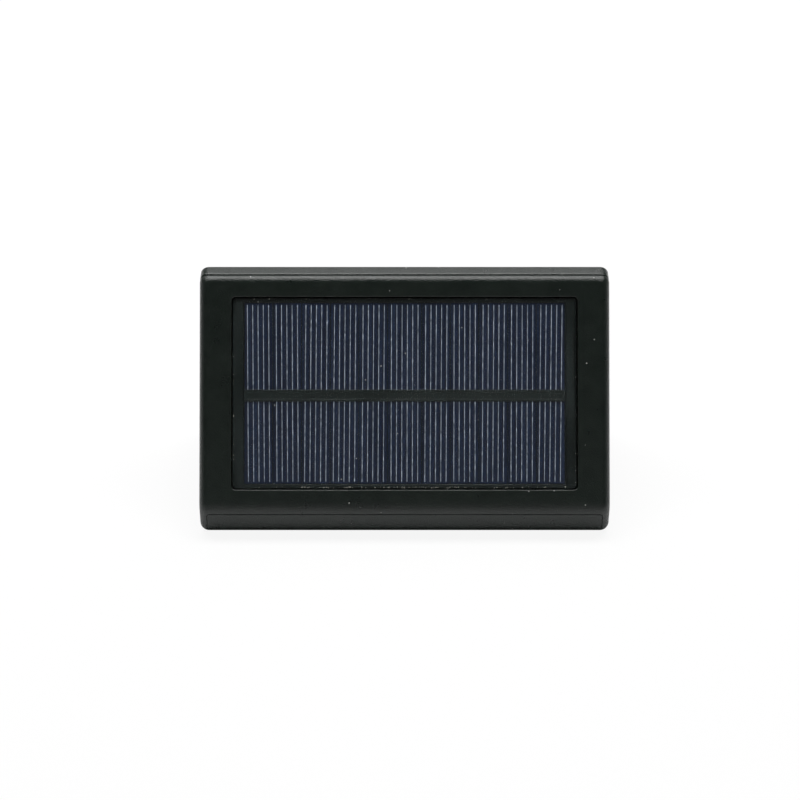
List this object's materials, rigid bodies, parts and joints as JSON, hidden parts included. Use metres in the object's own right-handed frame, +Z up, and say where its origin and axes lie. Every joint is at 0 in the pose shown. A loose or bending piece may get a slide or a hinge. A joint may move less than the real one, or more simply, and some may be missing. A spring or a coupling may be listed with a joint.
{
  "type": "solar fence light",
  "caption": "Wedge-shaped solar fence light: black case with a sloping framed solar panel, a downward lamp lens and keyhole fixings on its flat back.",
  "frame": {"origin": "middle of the flat back face that lies on the fence", "axes": "+Y out of the back into the fence, +X across the light's width, +Z up; the light stands out towards -Y"},
  "size_m": [0.12, 0.049, 0.0614],
  "materials": {
    "black_plastic": "moulded, fine satin grain",
    "seal_rubber": "soft silicone",
    "frosted_plastic": "frosted, translucent",
    "white_plastic": "smooth white",
    "lamp_board_white": "white solder mask",
    "lamp_chip": "yellow phosphor in a white body",
    "boot_rubber": "folded silicone",
    "foam_tape": "foam",
    "panel_backing": "dark board",
    "silicon": "navy silicon with light conductor lines",
    "tinned_metal": "tinned, satin",
    "black_tape": "smooth tape",
    "clear_film": "clear, glossy",
    "battery_wrap": "shrink sleeve",
    "inner_plastic": "moulded",
    "spring_steel": "plated wire",
    "circuit_board": "green solder mask",
    "chip_black": "moulded",
    "coil_copper": "enamelled wire on ferrite",
    "can_metal": "bright can",
    "switch_body": "moulded",
    "button_plastic": "soft grey-black",
    "screw_steel": "plated",
    "lead_red": "insulated wire",
    "lead_black": "insulated wire"
  },
  "bodies": {
    "lamp": {"front_case": "black_plastic", "back_cover": "black_plastic", "lens_bezel": "black_plastic", "back_seal": "seal_rubber", "bezel_seal": "seal_rubber", "lens_seal": "seal_rubber", "button_seal": "seal_rubber", "diffuser_lens": "frosted_plastic", "reflector_tray": "white_plastic", "lamp_board": "lamp_board_white", "lamp_chips": "lamp_chip", "panel_foam": "foam_tape", "panel_board": "panel_backing", "solar_cells": "silicon", "busbar_ribbon": "tinned_metal", "busbar_tape": "black_tape", "panel_film": "clear_film", "battery": "battery_wrap", "battery_cradle": "inner_plastic", "battery_spring": "spring_steel", "battery_contacts": "tinned_metal", "control_board": "circuit_board", "driver_chip": "chip_black", "charge_coil": "coil_copper", "capacitors": "can_metal", "push_switch": "switch_body", "button_boot": "boot_rubber", "case_screws": "screw_steel", "bezel_screws": "screw_steel", "reflector_screws": "screw_steel", "cradle_screws": "screw_steel", "board_screws": "screw_steel", "solar_lead_red": "lead_red", "solar_lead_black": "lead_black", "lamp_lead_red": "lead_red", "lamp_lead_black": "lead_black", "battery_lead_red": "lead_red", "battery_lead_black": "lead_black"},
    "push_button": {"button": "button_plastic", "button_clip": "spring_steel", "switch_plunger": "white_plastic"}
  },
  "joints": [
    {"name": "button_press", "type": "slide", "parent": "lamp", "child": "push_button", "axis": [0, 0, 1], "range_m": [0, 0.0015], "stiffness_N_per_m": 1000, "springref_m": -0.0005, "deforming": ["button_boot"]}
  ]
}
